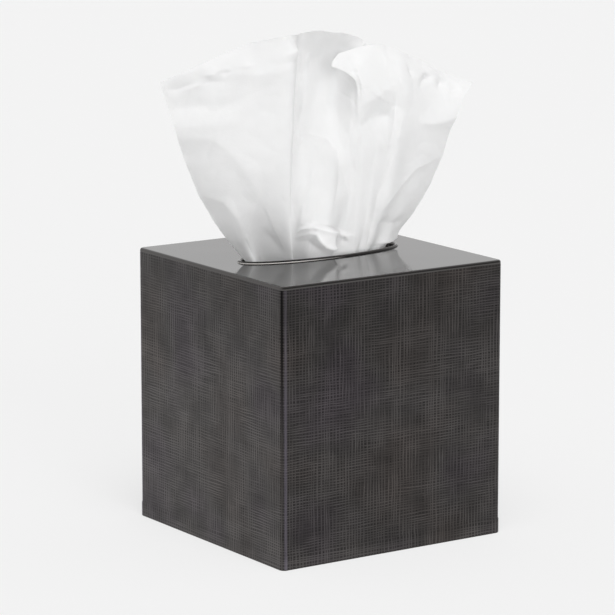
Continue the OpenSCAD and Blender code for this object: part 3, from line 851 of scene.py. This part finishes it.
sweep, tree, shader = new_material("MattPaperSweep")
shader.inputs["Base Color"].default_value = linear("#F2F2F2")
shader.inputs["Roughness"].default_value = 0.9
shader.inputs["Specular IOR Level"].default_value = 0.0
path = add_node(tree, "ShaderNodeLightPath").outputs
seen = add_node(tree, "ShaderNodeMath", {0: path["Is Camera Ray"], 1: path["Is Glossy Ray"]},
                operation="MAXIMUM")
share = add_node(tree, "ShaderNodeMath", {0: seen.outputs[0], 1: SHOWN_WHITE},
                 operation="MULTIPLY")
paper_white = add_node(tree, "ShaderNodeEmission",
                       {"Color": linear("#F5F5F5"), "Strength": 1.0})
shown = add_node(tree, "ShaderNodeMixShader",
                 {"Fac": share.outputs[0], 1: shader.outputs[0], 2: paper_white.outputs[0]})
tree.links.new(shown.outputs[0], tree.nodes["Material Output"].inputs["Surface"])

corners = [(FLOOR_REACH * sx, FLOOR_REACH * sy, 0)
           for sx, sy in ((-1, -1), (1, -1), (1, 1), (-1, 1))]
floor_mesh = bpy.data.meshes.new("floor")
floor_mesh.from_pydata(corners, [], [(0, 1, 2, 3)])
floor_mesh.materials.append(sweep)
floor = bpy.data.objects.new("floor", floor_mesh)
bpy.context.collection.objects.link(floor)
print("laid a floor", 2 * FLOOR_REACH, "m wide")

# %% [markdown]
# A pale room lights everything evenly. The camera and the metal see it brighter than it
# lights, so the background is pale without more light on the object. Its front, behind the
# camera, is darker, which only the metal sees: the sides stay dark while the top mirrors the
# pale sweep.

# %% The room
ROOM_LIGHT, ROOM_SEEN = 0.46, 0.97
DARK_FRONT, FRONT_AT, BACK_AT = 0.30, -0.55, 0.05

world = bpy.data.worlds.new("pale_room")
bpy.context.scene.world = world
world.use_nodes = True
tree = world.node_tree
background = tree.nodes["Background"]
background.inputs["Color"].default_value = linear("#F4F4F4")
path = add_node(tree, "ShaderNodeLightPath").outputs
seen = add_node(tree, "ShaderNodeMath", {0: path["Is Camera Ray"], 1: path["Is Glossy Ray"]},
                operation="MAXIMUM")
tone = add_node(tree, "ShaderNodeMapRange",
                {"Value": seen.outputs[0], "To Min": ROOM_LIGHT, "To Max": ROOM_SEEN})
heading = add_node(tree, "ShaderNodeTexCoord").outputs["Generated"]
look = add_node(tree, "ShaderNodeSeparateXYZ", {0: heading})
dim = add_node(tree, "ShaderNodeMapRange",
               {"Value": look.outputs["Y"], "From Min": FRONT_AT, "From Max": BACK_AT,
                "To Min": DARK_FRONT, "To Max": 1.0})
side = add_node(tree, "ShaderNodeMix",
                {"Factor": path["Is Glossy Ray"], "A": 1.0, "B": dim.outputs[0]})
strength = add_node(tree, "ShaderNodeMath", {0: tone.outputs[0], 1: side.outputs[0]},
                    operation="MULTIPLY")
tree.links.new(strength.outputs[0], background.inputs["Strength"])
print("made", world.name)

# %% [markdown]
# Two wide suns stand in for large studio lamps. The key, from above and a little to the left,
# whitens every fold that faces up, and a weaker fill from the front opens the shade below.
# Area lamps would do as well, but a sun's strength doesn't change with its distance. A small
# lamp just above the top stands in for light thrown back up by the polished plate, which a
# path tracer finds slowly. None of them shows in the metal.

# %% Lamps
KEY_HEADING, KEY_STRENGTH, KEY_SPREAD = (0.30, 0.55, -1.35), 1.6, 40
FILL_HEADING, FILL_STRENGTH, FILL_SPREAD = (0.18, 0.95, -0.24), 1.15, 36
BOUNCE_PLACE, BOUNCE_HEADING = (0.014, -0.040, TOP + 0.0015), (0.0, 0.8, 0.6)
BOUNCE_LONG, BOUNCE_DEEP, BOUNCE_WATTS = 0.082, 0.018, 0.0150


def hang(lamp, heading, place=(0, 0, 0)):
    holder = bpy.data.objects.new(lamp.name, lamp)
    holder.location = place
    holder.rotation_euler = Vector(heading).to_track_quat("-Z", "Y").to_euler()
    holder.visible_glossy = False
    bpy.context.collection.objects.link(holder)


def soft_sun(name, heading, strength, spread):
    lamp = bpy.data.lights.new(name, "SUN")
    lamp.energy = strength
    lamp.angle = math.radians(spread)
    hang(lamp, heading)


soft_sun("key_from_above", KEY_HEADING, KEY_STRENGTH, KEY_SPREAD)
soft_sun("fill_from_front", FILL_HEADING, FILL_STRENGTH, FILL_SPREAD)
bounce = bpy.data.lights.new("bounce_off_polished_top", "AREA")
bounce.shape = "RECTANGLE"
bounce.size, bounce.size_y, bounce.energy = BOUNCE_LONG, BOUNCE_DEEP, BOUNCE_WATTS
hang(bounce, BOUNCE_HEADING, BOUNCE_PLACE)
print("lit by two wide suns and the bounce off the top")

# %% [markdown]
# Last, the plain view transform shows colours about as they are written.

# %% Finish
bpy.context.scene.view_settings.view_transform = "Standard"
